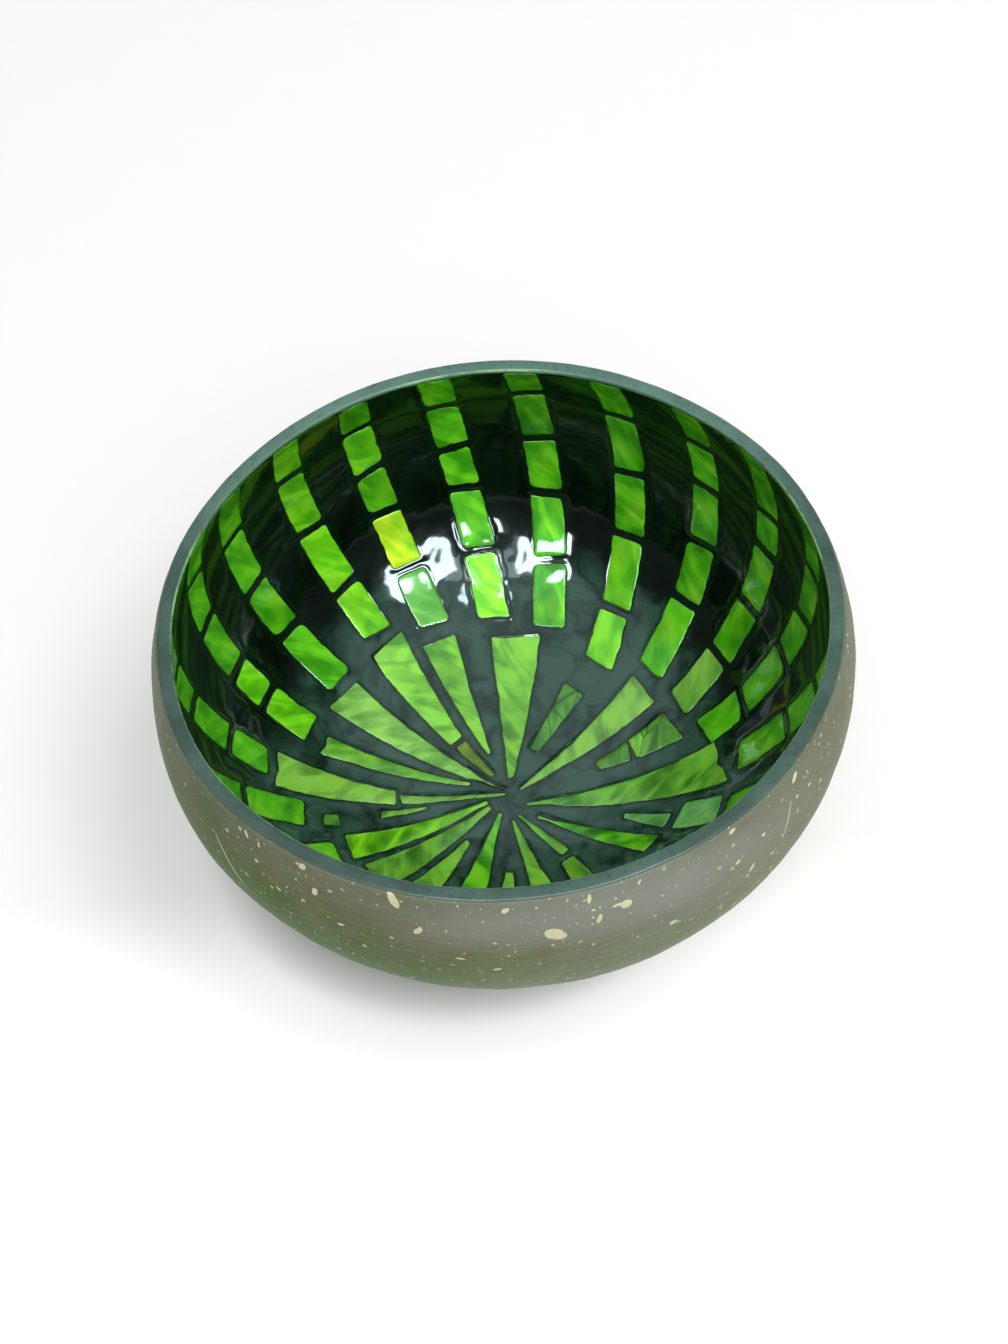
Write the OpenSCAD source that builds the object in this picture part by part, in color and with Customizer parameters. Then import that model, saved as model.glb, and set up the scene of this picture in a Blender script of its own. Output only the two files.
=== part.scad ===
// Coconut shell bowl with a lacquered inside, laid with pearl tiles.
// The bowl stands on its ground foot: z = 0 is the table, and +Z is the bowl's axis.

/* [Shell] */
// Width across the rim
rim_d = 130; // [124:1:136]
// Height from the table to the top of the rim
height = 63; // [60:0.5:66]
// Depth of the widest place below the rim
belly_drop = 14; // [12:0.5:16]
// Radius of the side curve, seen in section
side_r = 41; // [39:0.5:43]
// Depth of the cap that is ground off for the foot
foot_grind = 0.9; // [0.6:0.1:1.4]
// Thickness of the shell's side
shell_wall = 2.5; // [2:0.1:3.2]
// Thickness of the shell over the foot
shell_floor = 3.05; // [2.6:0.05:4]

/* [Lacquer] */
// Thickness of the dark lacquer on the inside
lining_t = 0.35; // [0.2:0.05:0.6]
// Thickness of the lacquer on the rim
rim_coat = 0.5; // [0.3:0.05:0.8]

/* [Inlay] */
// Thickness of the pearl pieces
pearl_t = 0.5; // [0.3:0.05:0.8]
// Width of a wall tile
tile_w = 6.9; // [5.5:0.1:7.4]
// Gap between two tiles of a column
joint_gap = 1.5; // [0.8:0.1:2.2]
// Clear band between the last tiles and the rim
rim_gap = 1; // [0.6:0.1:2]
// Reach of the centre star, measured along the floor
star_r = 45; // [42:0.5:47]
// Width of the widest wedge of the star
wedge_w = 11; // [9:0.25:11.5]

/* [Hidden] */
$fn = 96;

// Length that eases the side's curve into the floor's: more of it leaves a wider flat
floor_ease = 7.77;
// What cutters reach past a face
overrun = 5;
// How far a piece's cutter reaches to each side of the inlay
cut_reach = 7;
// Straight steps that stand for each curve of the section
floor_steps = 9;
side_steps = 11;

// Curves of the outside and the lacquered inside, as [x, z] places in the section
rim_r = rim_d / 2;
side_x = rim_r - sqrt(pow(side_r, 2) - pow(belly_drop, 2));
side_z = height - belly_drop;

in_side_r = side_r - shell_wall - lining_t;
in_depth = height - shell_floor - lining_t;

// Depth of the inside below its side curve's circle
spare = in_depth - belly_drop - in_side_r;
// The side curve turns into the floor's curve at this angle below level
turn = 2 * atan(side_x / (spare / 2 + sqrt(pow(spare / 2, 2) + pow(floor_ease, 2)))) - 90;

// A floor curve is tangent to the side curve and reaches down by depth below the rim
function floor_r(side, depth) = (depth - belly_drop - side * sin(turn)) / (1 - sin(turn));
function floor_x(side, low) = side_x + (side - low) * cos(turn);
function floor_z(side, low) = side_z - (side - low) * sin(turn);

out_low_r = floor_r(side_r, height + foot_grind);
in_low_r = floor_r(in_side_r, in_depth);
in_low_x = floor_x(in_side_r, in_low_r);
in_low_z = floor_z(in_side_r, in_low_r);

// The inside's length from the axis to the rim: a flat, the floor's curve, the side's curve
rim_turn = asin(belly_drop / in_side_r);
flat_arc = in_low_x;
low_arc = in_low_r * (90 - turn) * PI / 180;
side_arc = in_side_r * (turn + rim_turn) * PI / 180;
wall_arc = flat_arc + low_arc + side_arc;

// Direction from the section's curve centre to the wall, in degrees above level
function wall_turn(arc) =
    arc < flat_arc ? -90
    : arc < flat_arc + low_arc ? -90 + (arc - flat_arc) / in_low_r * 180 / PI
    : -turn + (arc - flat_arc - low_arc) / in_side_r * 180 / PI;
// Distance of the wall from the axis, and its height
function wall_x(arc) =
    arc < flat_arc ? arc
    : arc < flat_arc + low_arc ? in_low_x + in_low_r * cos(wall_turn(arc))
    : side_x + in_side_r * cos(wall_turn(arc));
function wall_z(arc) =
    arc < flat_arc + low_arc ? in_low_z + in_low_r * sin(wall_turn(arc))
    : side_z + in_side_r * sin(wall_turn(arc));
function wall_point(azimuth, arc) =
    [wall_x(arc) * cos(azimuth), wall_x(arc) * sin(azimuth), wall_z(arc)];

// Angle about the axis that a length takes up at a place on the wall
function spread(length, arc) = length / wall_x(arc) * 180 / PI;

// Directions on the wall: round it, up it and out of it
function round_way(azimuth) = [-sin(azimuth), cos(azimuth), 0];
function up_way(azimuth, turned) =
    [-sin(turned) * cos(azimuth), -sin(turned) * sin(azimuth), cos(turned)];

// Pieces of the star, named from the one at the back round to the left.
// Each row: azimuth, share of the star's reach and share of the widest wedge at the
// tip, the same three at the outer end, and the degrees by which that end is cut askew.
wedge_shares = [
    [97, 0.09, 0.12, 85, 0.84, 1, -3],
    [113, 0.25, 0.1, 110, 0.88, 0.7, 2],
    [128, 0.4, 0.31, 125, 0.98, 0.83, -4],
    [130, 0.14, 0.11, 128, 0.38, 0.3, 3],
    [150, 0.05, 0.06, 146, 0.94, 0.79, 8],
    [159, 0.21, 0.08, 164, 0.91, 0.44, 6],
    [179, 0.54, 0.32, 177.5, 1.12, 0.79, 2],
    [176, 0.04, 0.07, 180, 0.52, 0.21, -8],
    [186, 0.4, 0.07, 189, 0.62, 0.17, 10],
    [196, 0.13, 0.09, 202, 0.83, 0.6, 9],
    [209, 0.13, 0.1, 216, 0.82, 0.72, 4],
    [227, 0.33, 0.11, 231, 0.8, 0.66, -4],
    [234, 0.12, 0.09, 249, 0.84, 0.7, 5],
    [263, 0.44, 0.15, 264, 0.86, 0.55, -6],
    [263, 0.145, 0.07, 281, 0.84, 0.62, 3],
    [275, 0.12, 0.08, 300.5, 0.41, 0.22, -8],
    [298, 0.445, 0.3, 297, 0.8, 0.6, 6],
    [305, 0.165, 0.09, 326, 0.72, 0.45, 12],
    [338, 0.52, 0.12, 337, 0.74, 0.36, 9],
    [310, 0.08, 0.08, 356, 0.98, 0.98, -14],
    [15.5, 0.4, 0.2, 16, 0.565, 0.42, 12],
    [16, 0.58, 0.45, 16.5, 0.8, 0.72, -9],
    [40, 0.035, 0.06, 35, 0.795, 0.74, 8],
    [66, 0.255, 0.2, 59, 0.62, 0.45, 12],
    [191, 0.82, 0.27, 191, 0.9, 0.25, 12]
];

// Azimuth of each tile column where the star ends, and the azimuth it gains up to the rim
column_azimuths = [-5, 9, 23.5, 39, 56.5, 75.5, 92, 109.5, 125, 143, 161,
    177, 189.5, 204.5, 221.5, 238.5, 255.5, 272, 289, 306, 323, 340];
azimuth_gains = [7, 9, 10.5, 11, 10, 7, 6.5, 5, 4.5, 1.5, -5,
    -4.5, -1, 0, 0, 1, 2, 3, 4, 5, 6, 6];
// Middle of the joint below each column, as a share of the star's reach
foot_shares = [1.05, 0.9, 0.85, 0.86, 0.76, 0.86, 0.9, 0.935, 1.025, 0.975, 0.975,
    1.15, 0.975, 0.885, 0.875, 0.85, 0.885, 0.9, 0.875, 0.82, 0.8, 0.77];
// Middle of each joint above that, up to the rim, as shares of the wall that the star
// leaves free
joint_shares = [
    [0.28, 0.46, 0.66, 0.82, 1],
    [0.11, 0.34, 0.51, 0.7, 1],
    [0.12, 0.33, 0.55, 0.7, 1],
    [0.18, 0.4, 0.62, 0.81, 1],
    [0.03, 0.3, 0.54, 0.79, 1],
    [0.15, 0.4, 0.62, 0.85, 1],
    [0.19, 0.43, 0.6, 0.81, 1],
    [0.19, 0.42, 0.6, 0.82, 1],
    [0.24, 0.5, 0.77, 1],
    [0.26, 0.48, 0.73, 1],
    [0.19, 0.345, 0.57, 0.79, 1],
    [0.3, 0.51, 0.67, 0.83, 1],
    [0.25, 0.46, 0.68, 0.85, 1],
    [0.07, 0.29, 0.53, 0.76, 1],
    [0.14, 0.38, 0.6, 0.8, 1],
    [0.1, 0.32, 0.57, 0.78, 1],
    [0.16, 0.37, 0.61, 0.82, 1],
    [0.13, 0.36, 0.56, 0.79, 1],
    [0.11, 0.35, 0.6, 0.81, 1],
    [0.12, 0.38, 0.58, 0.8, 1],
    [0.07, 0.31, 0.55, 0.77, 1],
    [0.01, 0.24, 0.48, 0.74, 1]
];
// Degrees by which each joint of a column is cut askew, from its foot to the rim
joint_tilts = [
    [4, 0, -4, 3, 5, 0],
    [-12, 6, 5, -8, 4, 0],
    [2, 0, 0, 3, -3, 0],
    [4, -3, -5, 3, 0, 0],
    [6, 2, 0, -6, 3, 0],
    [-4, -9, 0, -6, -8, 0],
    [5, 0, 3, -9, 0, 0],
    [3, -2, 0, -14, -7, 0],
    [5, -10, 2, 3, 0],
    [0, 3, -9, -12, 0],
    [6, 4, -3, -7, 3, 0],
    [-4, 3, 5, 0, -4, 0],
    [10, 4, -3, 6, 2, 0],
    [5, -6, 3, -4, 4, 0],
    [-3, 5, -7, 2, 3, 0],
    [4, -2, 6, -5, 0, 0],
    [-6, 3, 0, 7, -4, 0],
    [2, -8, 4, 0, 5, 0],
    [5, 3, -5, 4, -3, 0],
    [-4, 0, 7, -3, 2, 0],
    [3, -5, 2, 6, -4, 0],
    [8, 4, -6, 2, 5, 0]
];

function numbered(name, index) = str(name, index < 9 ? "_0" : "_", index + 1);
WEDGES = [for (i = [0:len(wedge_shares) - 1]) numbered("centre_wedge", i)];
COLUMNS = [for (i = [0:len(column_azimuths) - 1]) numbered("tile_column", i)];

// A bowl's curve in the section, from the axis to a level: the flat, the floor's curve
// and the side's curve tangent to it
function section_curve(side, low, top) = let (
    low_x = floor_x(side, low),
    low_z = floor_z(side, low),
    top_turn = asin((top - side_z) / side)
) concat(
    [[0, low_z - low]],
    [for (i = [0:floor_steps]) let (a = -90 + (90 - turn) * i / floor_steps)
        [low_x + low * cos(a), low_z + low * sin(a)]],
    [for (i = [1:side_steps]) let (a = -turn + (top_turn + turn) * i / side_steps)
        [side_x + side * cos(a), side_z + side * sin(a)]]
);

// The lacquered inside's curve, moved out into the wall by a gap
function inside_curve(gap, top) = section_curve(in_side_r + gap, in_low_r + gap, top);
function backwards(points) = [for (i = [len(points) - 1:-1:0]) points[i]];

// What lies between two such curves, below a level
module band_section(outer_gap, inner_gap, top) {
    polygon(concat(inside_curve(outer_gap, top), backwards(inside_curve(inner_gap, top))));
}

module coconut_shell() {
    top = height - rim_coat;
    color([0.42, 0.38, 0.32]) rotate_extrude() difference() {
        polygon(concat(
            section_curve(side_r, out_low_r, top), backwards(inside_curve(lining_t, top))
        ));
        translate([0, -overrun]) square([rim_d, overrun]);
    }
}

module lacquer_lining() {
    color([0.02, 0.06, 0.03]) rotate_extrude() band_section(lining_t, 0, height - rim_coat);
}

// The coat lies on the sawn edge of the shell and the lining, with both edges rounded
module rim_lacquer() {
    seat_z = height - rim_coat;
    inner_x = side_x + sqrt(pow(in_side_r, 2) - pow(seat_z - side_z, 2)) + rim_coat;
    outer_x = rim_r - rim_coat;
    color([0.33, 0.45, 0.44]) rotate_extrude() intersection() {
        union() {
            polygon([[inner_x, seat_z], [outer_x, seat_z], [outer_x, height], [inner_x, height]]);
            translate([inner_x, seat_z]) circle(r = rim_coat);
            translate([outer_x, seat_z]) circle(r = rim_coat);
        }
        translate([0, seat_z]) square([rim_d, rim_coat]);
    }
}

module pearl_layer() {
    rotate_extrude() band_section(0, -pearl_t, height - rim_coat);
}

// One pearl piece: its corners are [azimuth, arc] places on the wall, cut square to the
// wall at the piece's middle
module pearl(corners) {
    azimuth = (corners[0][0] + corners[1][0] + corners[2][0] + corners[3][0]) / 4;
    arc = (corners[0][1] + corners[1][1] + corners[2][1] + corners[3][1]) / 4;
    middle = wall_point(azimuth, arc);
    turned = wall_turn(arc);
    outline = [for (c = corners) let (offset = wall_point(c[0], c[1]) - middle)
        [offset * round_way(azimuth), offset * up_way(azimuth, turned)]];
    intersection() {
        pearl_layer();
        translate(middle) rotate([0, 0, azimuth]) rotate([0, 90 - turned, 0]) rotate([0, 0, 90])
            linear_extrude(height = 2 * cut_reach, center = true) polygon(outline);
    }
}

// Four corners of a piece between two places, each with its width and askew cut
function piece_corners(az_a, arc_a, w_a, tilt_a, az_b, arc_b, w_b, tilt_b) = let (
    rise_a = w_a / 2 * tan(tilt_a),
    rise_b = w_b / 2 * tan(tilt_b)
) [
    [az_a - spread(w_a / 2, arc_a), arc_a - rise_a],
    [az_a + spread(w_a / 2, arc_a), arc_a + rise_a],
    [az_b + spread(w_b / 2, arc_b), arc_b + rise_b],
    [az_b - spread(w_b / 2, arc_b), arc_b - rise_b]
];

module centre_wedge(index) {
    w = wedge_shares[index];
    color([0.38, 0.78, 0.16]) pearl(piece_corners(
        w[0], w[1] * star_r, w[2] * wedge_w, 0,
        w[3], w[4] * star_r, w[5] * wedge_w, w[6]
    ));
}

// The tiles of one column stand on the wall from the star to the rim, a joint apart
module tile_column(index) {
    free_arc = wall_arc - rim_coat - rim_gap + joint_gap / 2 - star_r;
    joints = concat(
        [foot_shares[index] * star_r],
        [for (share = joint_shares[index]) star_r + share * free_arc]
    );
    azimuths = [for (joint = joints)
        column_azimuths[index] + azimuth_gains[index] * (joint - star_r) / free_arc];
    tilts = joint_tilts[index];
    color([0.3, 0.72, 0.1]) for (row = [0:len(joints) - 2]) {
        pearl(piece_corners(
            azimuths[row], joints[row] + joint_gap / 2, tile_w, tilts[row],
            azimuths[row + 1], joints[row + 1] - joint_gap / 2, tile_w, tilts[row + 1]
        ));
    }
}

coconut_shell();
lacquer_lining();
rim_lacquer();
for (i = [0:len(WEDGES) - 1]) {
    centre_wedge(i);
}
for (i = [0:len(COLUMNS) - 1]) {
    tile_column(i);
}
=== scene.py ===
"""Looks of the lacquered coconut shell bowl: shell, rim, dark lacquer and green pearl inlay."""
import functools
import math

import bpy
import numpy as np
from mathutils import Matrix, Vector
from mathutils.geometry import delaunay_2d_cdt


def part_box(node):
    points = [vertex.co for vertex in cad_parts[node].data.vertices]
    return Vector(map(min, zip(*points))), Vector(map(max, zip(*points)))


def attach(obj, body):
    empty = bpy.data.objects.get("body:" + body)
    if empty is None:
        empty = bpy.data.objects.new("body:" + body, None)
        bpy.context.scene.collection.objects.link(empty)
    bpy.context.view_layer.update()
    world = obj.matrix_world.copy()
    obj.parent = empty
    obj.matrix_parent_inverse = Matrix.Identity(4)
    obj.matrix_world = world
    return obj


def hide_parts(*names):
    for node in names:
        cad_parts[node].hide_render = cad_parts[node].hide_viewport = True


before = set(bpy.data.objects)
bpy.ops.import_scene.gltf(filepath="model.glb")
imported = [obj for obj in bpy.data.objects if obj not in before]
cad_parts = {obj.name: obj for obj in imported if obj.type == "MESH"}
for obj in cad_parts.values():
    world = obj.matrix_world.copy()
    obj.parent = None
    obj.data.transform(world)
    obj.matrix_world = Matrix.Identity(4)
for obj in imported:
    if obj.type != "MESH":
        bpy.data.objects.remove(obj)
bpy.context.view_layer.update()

MM = 0.001
BODY = "root"

# Sizes of the bowl in metres, with +Z up from the foot
RIM_LOW, RIM_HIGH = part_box("rim_lacquer")
RIM_R = RIM_HIGH[0]
HEIGHT = RIM_HIGH[2]
RIM_COAT = HEIGHT - RIM_LOW[2]
BELLY_DROP = 14 * MM
SIDE_R = 41 * MM
FOOT_GRIND = 0.9 * MM
SHELL_WALL = 2.5 * MM
SHELL_FLOOR = 3.05 * MM
LINING_T = 0.35 * MM
PEARL_T = 0.5 * MM
FLOOR_EASE = 7.77 * MM
FACET_SLACK = 0.06 * MM

# The shell isn't quite round: azimuth, spread in degrees and swelling at the rim
SWELLINGS = (
    (50, 20, -0.45 * MM),
    (135, 22, -0.5 * MM),
    (207, 15, 0.7 * MM),
    (285, 30, -0.2 * MM),
)

SIDE_X = RIM_R - math.sqrt(SIDE_R ** 2 - BELLY_DROP ** 2)
SIDE_Z = HEIGHT - BELLY_DROP
IN_SIDE_R = SIDE_R - SHELL_WALL - LINING_T
IN_DEPTH = HEIGHT - SHELL_FLOOR - LINING_T
SPARE = IN_DEPTH - BELLY_DROP - IN_SIDE_R
TURN = 2 * math.atan(SIDE_X / (SPARE / 2 + math.hypot(SPARE / 2, FLOOR_EASE))) - math.pi / 2


class Section:
    """One curve of the bowl in section: a flat, the floor's arc and the side's arc."""

    def __init__(self, side, depth):
        self.side = side
        self.low = (depth - BELLY_DROP - side * math.sin(TURN)) / (1 - math.sin(TURN))
        self.low_x = SIDE_X + (side - self.low) * math.cos(TURN)
        self.low_z = SIDE_Z - (side - self.low) * math.sin(TURN)
        self.low_arc = self.low * (math.pi / 2 - TURN)

    def length(self, top):
        """Length of the curve from the axis to a level of its side."""
        rise = math.asin((top - SIDE_Z) / self.side)
        return self.low_x + self.low_arc + self.side * (TURN + rise)

    def at(self, arc):
        """Radius, height and outward direction (in radians above level) along the curve."""
        arc = np.asarray(arc, float)
        on_flat = arc < self.low_x
        on_side = arc > self.low_x + self.low_arc
        low_turn = -math.pi / 2 + (arc - self.low_x) / self.low
        side_turn = -TURN + (arc - self.low_x - self.low_arc) / self.side
        turn = np.select([on_side, on_flat], [side_turn, -math.pi / 2], low_turn)
        side_x = SIDE_X + self.side * np.cos(turn)
        side_z = SIDE_Z + self.side * np.sin(turn)
        radius = np.select([on_side, on_flat], [side_x, arc], self.low_x + self.low * np.cos(turn))
        height = np.where(on_side, side_z, self.low_z + self.low * np.sin(turn))
        return radius, height, turn

    def lift_of(self, points):
        """How far points stand inside the curve, and the direction in which that grows."""
        radius = np.hypot(points[:, 0], points[:, 1])
        height = points[:, 2]
        from_side = np.stack([radius - SIDE_X, height - SIDE_Z], 1)
        from_low = np.stack([radius - self.low_x, height - self.low_z], 1)
        on_side = np.arctan2(from_side[:, 1], from_side[:, 0]) > -TURN
        on_flat = ~on_side & (from_low[:, 0] < 0)
        from_low[on_flat, 0] = 0
        away = np.where(on_side[:, None], from_side, from_low)
        reach = np.hypot(away[:, 0], away[:, 1])
        lift = np.where(on_side, self.side, self.low) - reach
        away /= reach[:, None]
        round_x = points[:, 0] / np.maximum(radius, 1e-9)
        round_y = points[:, 1] / np.maximum(radius, 1e-9)
        inward = -np.stack([away[:, 0] * round_x, away[:, 0] * round_y, away[:, 1]], 1)
        return lift, inward


OUTSIDE = Section(SIDE_R - FACET_SLACK, HEIGHT + FOOT_GRIND - FACET_SLACK)
LINING_BACK = Section(IN_SIDE_R + LINING_T, IN_DEPTH + LINING_T)
INSIDE = Section(IN_SIDE_R, IN_DEPTH)
SEAT_Z = HEIGHT - RIM_COAT
SEAT_ARC = INSIDE.length(SEAT_Z)


def direction(azimuth, elevation):
    """The unit vector towards an azimuth and an elevation in degrees."""
    a, e = math.radians(azimuth), math.radians(elevation)
    return Vector((math.cos(e) * math.cos(a), math.cos(e) * math.sin(a), math.sin(e)))


def swollen(points):
    """The same points on the shell as it grew, a little out of round towards the rim."""
    points = np.array(points, float)
    azimuth = np.degrees(np.arctan2(points[:, 1], points[:, 0]))
    radius = np.hypot(points[:, 0], points[:, 1])
    swell = sum(amount * humps(azimuth, [(middle, spread)]) for middle, spread, amount in SWELLINGS)
    share = np.clip(radius / RIM_R, 0, 1) ** 2
    points[:, :2] *= (1 + swell * share / np.maximum(radius, 1e-6))[:, None]
    return points


def wave(angle, seed, counts, size=1.0):
    """A smooth closed wave round the bowl, made of a few counts of swells."""
    random = np.random.default_rng(seed)
    total = np.zeros_like(np.asarray(angle, float))
    for count in counts:
        total += np.sin(count * angle + random.uniform(0, 2 * math.pi)) * random.uniform(0.5, 1)
    return size * total / len(counts)


def lumps(points, seed, pitch):
    """Smooth random relief between about -1 and 1 at places in space, pitch apart."""
    random = np.random.default_rng(seed)
    total = np.zeros(len(points))
    waves = 14
    for _ in range(waves):
        way = random.normal(size=3)
        way *= 2 * math.pi / pitch * random.uniform(0.6, 1.3) / np.linalg.norm(way)
        total += np.sin(points @ way + random.uniform(0, 2 * math.pi))
    return total / math.sqrt(waves)


# Shader maths

class Link:
    """A socket in a tree of nodes. Sums and products of it add Math nodes."""

    def __init__(self, finish, socket):
        self.finish = finish
        self.socket = socket

    def maths(self, operation, *values):
        return self.finish.node("ShaderNodeMath", {"operation": operation}, dict(enumerate(values)))

    def __add__(self, other):
        return self.maths("ADD", self, other)

    __radd__ = __add__

    def __sub__(self, other):
        return self.maths("SUBTRACT", self, other)

    def __rsub__(self, other):
        return self.maths("SUBTRACT", other, self)

    def __mul__(self, other):
        return self.maths("MULTIPLY", self, other)

    __rmul__ = __mul__

    def __pow__(self, other):
        return self.maths("POWER", self, other)

    def at_least(self, other):
        return self.maths("MAXIMUM", self, other)

    def at_most(self, other):
        return self.maths("MINIMUM", self, other)

    def above(self, low, high):
        """0 below low and 1 above high, with a smooth step between."""
        settings = {"interpolation_type": "SMOOTHSTEP"}
        return self.finish.node("ShaderNodeMapRange", settings, {0: self, 1: low, 2: high})

    def below(self, low, high):
        """1 below low and 0 above high, with a smooth step between."""
        return 1 - self.above(low, high)


class Finish:
    """The nodes of one material, or of the world, whose look is written as sums of them."""

    def __init__(self, holder):
        holder.use_nodes = True
        self.holder = holder
        self.tree = holder.node_tree
        self.tree.nodes.clear()

    def node(self, kind, settings=None, sockets=None, out=0):
        """Adds a node with its settings, fills its sockets, and gives one of its outputs."""
        made = self.tree.nodes.new(kind)
        for key, value in (settings or {}).items():
            setattr(made, key, value)
        for key, value in (sockets or {}).items():
            if isinstance(value, Link):
                self.tree.links.new(value.socket, made.inputs[key])
            elif isinstance(value, tuple) and made.inputs[key].type == "RGBA":
                made.inputs[key].default_value = (*value, 1)
            else:
                made.inputs[key].default_value = value
        return Link(self, made.outputs[out]) if len(made.outputs) else None

    def place(self):
        """Place on the object in millimetres."""
        at = self.node("ShaderNodeTexCoord", out="Object")
        return self.vector("SCALE", at, {"Scale": 1 / MM})

    def vector(self, operation, first, others, out=0):
        return self.node("ShaderNodeVectorMath", {"operation": operation}, {0: first, **others}, out)

    def stretched(self, at, ways):
        """The place with each of its x, y and z multiplied, which squeezes a pattern there."""
        return self.vector("MULTIPLY", at, {1: ways})

    def parts(self, at):
        """The x, y and z of a vector, or the red, green and blue of a colour."""
        return [self.node("ShaderNodeSeparateXYZ", sockets={0: at}, out=i) for i in range(3)]

    def attribute(self, name, out="Fac"):
        """A value that the mesh carries at its points."""
        return self.node("ShaderNodeAttribute", {"attribute_name": name}, out=out)

    def seen(self):
        """1 for what the camera sees straight, in a reflection or through glass, else 0."""
        rays = ("Is Camera Ray", "Is Glossy Ray", "Is Transmission Ray")
        camera, glossy, through = (self.node("ShaderNodeLightPath", out=ray) for ray in rays)
        return camera.at_least(glossy).at_least(through)

    def noise(self, at, pitch, detail=2.0, roughness=0.5, warp=0.0, out=0):
        """Smooth random values from 0 to 1, whose features lie pitch apart."""
        return self.node("ShaderNodeTexNoise", sockets={
            "Vector": at, "Scale": 1 / pitch, "Detail": detail, "Roughness": roughness,
            "Distortion": warp}, out=out)

    def cells(self, at, pitch, feature="F1", out="Distance"):
        """A pattern of cells that are about pitch wide."""
        return self.node("ShaderNodeTexVoronoi", {"feature": feature}, {
            "Vector": at, "Scale": 1 / pitch}, out)

    def mix(self, share, first, second):
        """Colour between first, where share is 0, and second, where it is 1."""
        return self.node("ShaderNodeMix", {"data_type": "RGBA"}, {0: share, 6: first, 7: second}, 2)

    def bump(self, height, size, strength=1.0):
        """A normal from a height of 0 to 1 that stands for size metres."""
        return self.node("ShaderNodeBump", sockets={
            "Strength": strength, "Distance": size, "Height": height})

    def surface(self, **sockets):
        """Ends the material in one shader and gives the material."""
        names = {key.replace("_", " "): value for key, value in sockets.items()}
        shader = self.node("ShaderNodeBsdfPrincipled", sockets=names)
        self.node("ShaderNodeOutputMaterial", sockets={0: shader})
        return self.holder


def new_finish(name):
    return Finish(bpy.data.materials.new(name))


# Large flecks of the shell: azimuth, height, length and width in millimetres, slant in
# degrees from level
LARGE_FLECKS = (
    (274.4, 53.7, 4.4, 2.9, -28),
    (249.4, 61.0, 4.0, 1.6, -62),
    (285.9, 57.2, 2.2, 2.0, 20),
    (284.6, 57.6, 2.6, 0.7, 5),
    (236.0, 56.7, 1.9, 1.2, 80),
    (233.5, 61.2, 1.6, 1.3, 30),
    (222.1, 60.6, 1.8, 0.7, -60),
    (224.8, 60.2, 1.3, 0.5, -70),
    (253.3, 54.6, 2.2, 1.2, 50),
    (259.5, 47.3, 1.8, 0.6, -8),
    (265.0, 43.4, 1.6, 0.7, 15),
    (320.7, 60.2, 2.2, 1.1, 40),
    (305.8, 61.4, 1.5, 0.9, 10),
    (281.4, 55.5, 2.3, 0.9, 70),
    (280.2, 60.7, 2.2, 0.8, 80),
    (267.0, 60.8, 1.6, 1.0, 35),
    (293.5, 46.1, 1.7, 1.3, 0),
    (308.6, 48.5, 2.2, 0.8, 55),
    (288.5, 61.1, 1.3, 0.4, 60),
    (305.7, 53.3, 1.3, 0.9, 20),
    (311.5, 55.0, 1.0, 0.8, 0),
    (240.4, 50.4, 1.3, 0.7, 10),
    (229.0, 52.0, 1.2, 0.6, -30),
    (218.0, 48.5, 13.5, 0.40, -58),
    (317.2, 52.6, 8.5, 0.3, 66),
    (35.0, 50.0, 3.6, 1.6, 25),
    (62.0, 38.0, 2.8, 1.3, -40),
    (97.0, 52.0, 4.2, 1.5, 10),
    (121.0, 30.0, 2.6, 1.7, 60),
    (158.0, 46.0, 3.2, 1.1, -20),
    (182.0, 35.0, 2.4, 1.4, 35),
    (8.0, 28.0, 2.7, 1.2, -15),
    (140.0, 16.0, 2.2, 1.2, 5),
    (300.0, 24.0, 2.5, 1.1, 30),
    (232.0, 22.0, 2.1, 1.0, -35),
)

# Painted pale sheen on the polish at the front, in place of its reflection, each patch placed as a fleck
# is, with its strength
PAINTED_SHEENS = (
    ((281.0, 57.0, 56.0, 11.0, 0), 0.65),
    ((304.0, 51.0, 50.0, 15.0, 8), 0.38),
)

# Scattered specks: pitch in millimetres, share of places left bare, least and greatest
# radius in millimetres, and how pale they are
SPECK_SIZES = (
    (0.9, 0.66, 0.10, 0.20, 0.55),
    (1.4, 0.62, 0.18, 0.36, 0.85),
    (2.6, 0.60, 0.30, 0.60, 1.00),
)


# How far a fleck reaches into the shell, in millimetres: not to the bowl's far side
FLECK_DEPTH = 30.0


def fleck_mask(finish, at, fleck, ragged, soft=0.22):
    """1 on one patch of the outside and 0 off it, with a ragged edge of some softness; the patches are
    large flecks and patches of painted sheen.
    """
    azimuth, height, long, wide, slant = fleck
    turn = math.asin(max(-1, min(1, (height * MM - SIDE_Z) / SIDE_R)))
    if turn > -TURN:
        radius = SIDE_X + SIDE_R * math.cos(turn)
    else:
        radius = OUTSIDE.low_x + math.sqrt(OUTSIDE.low ** 2 - (OUTSIDE.low_z - height * MM) ** 2)
        turn = -math.acos((radius - OUTSIDE.low_x) / OUTSIDE.low)
    out = direction(azimuth, 0)
    middle = out * (radius / MM) + Vector((0, 0, height))
    level = direction(azimuth + 90, 0)
    up = Vector((0, 0, math.cos(turn))) - out * math.sin(turn)
    slope = math.radians(slant)
    along = level * math.cos(slope) + up * math.sin(slope)
    across = up * math.cos(slope) - level * math.sin(slope)
    lie = Matrix((along, across, along.cross(across))).transposed().to_euler()
    near = finish.node("ShaderNodeMapping", {"vector_type": "TEXTURE"}, {
        0: at, 1: tuple(middle), 2: tuple(lie), 3: (long / 2, wide / 2, FLECK_DEPTH)})
    reach = finish.vector("DOT_PRODUCT", near, {1: near}, "Value")
    return (reach + ragged).below(0.97 - soft, 0.97 + soft)


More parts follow.
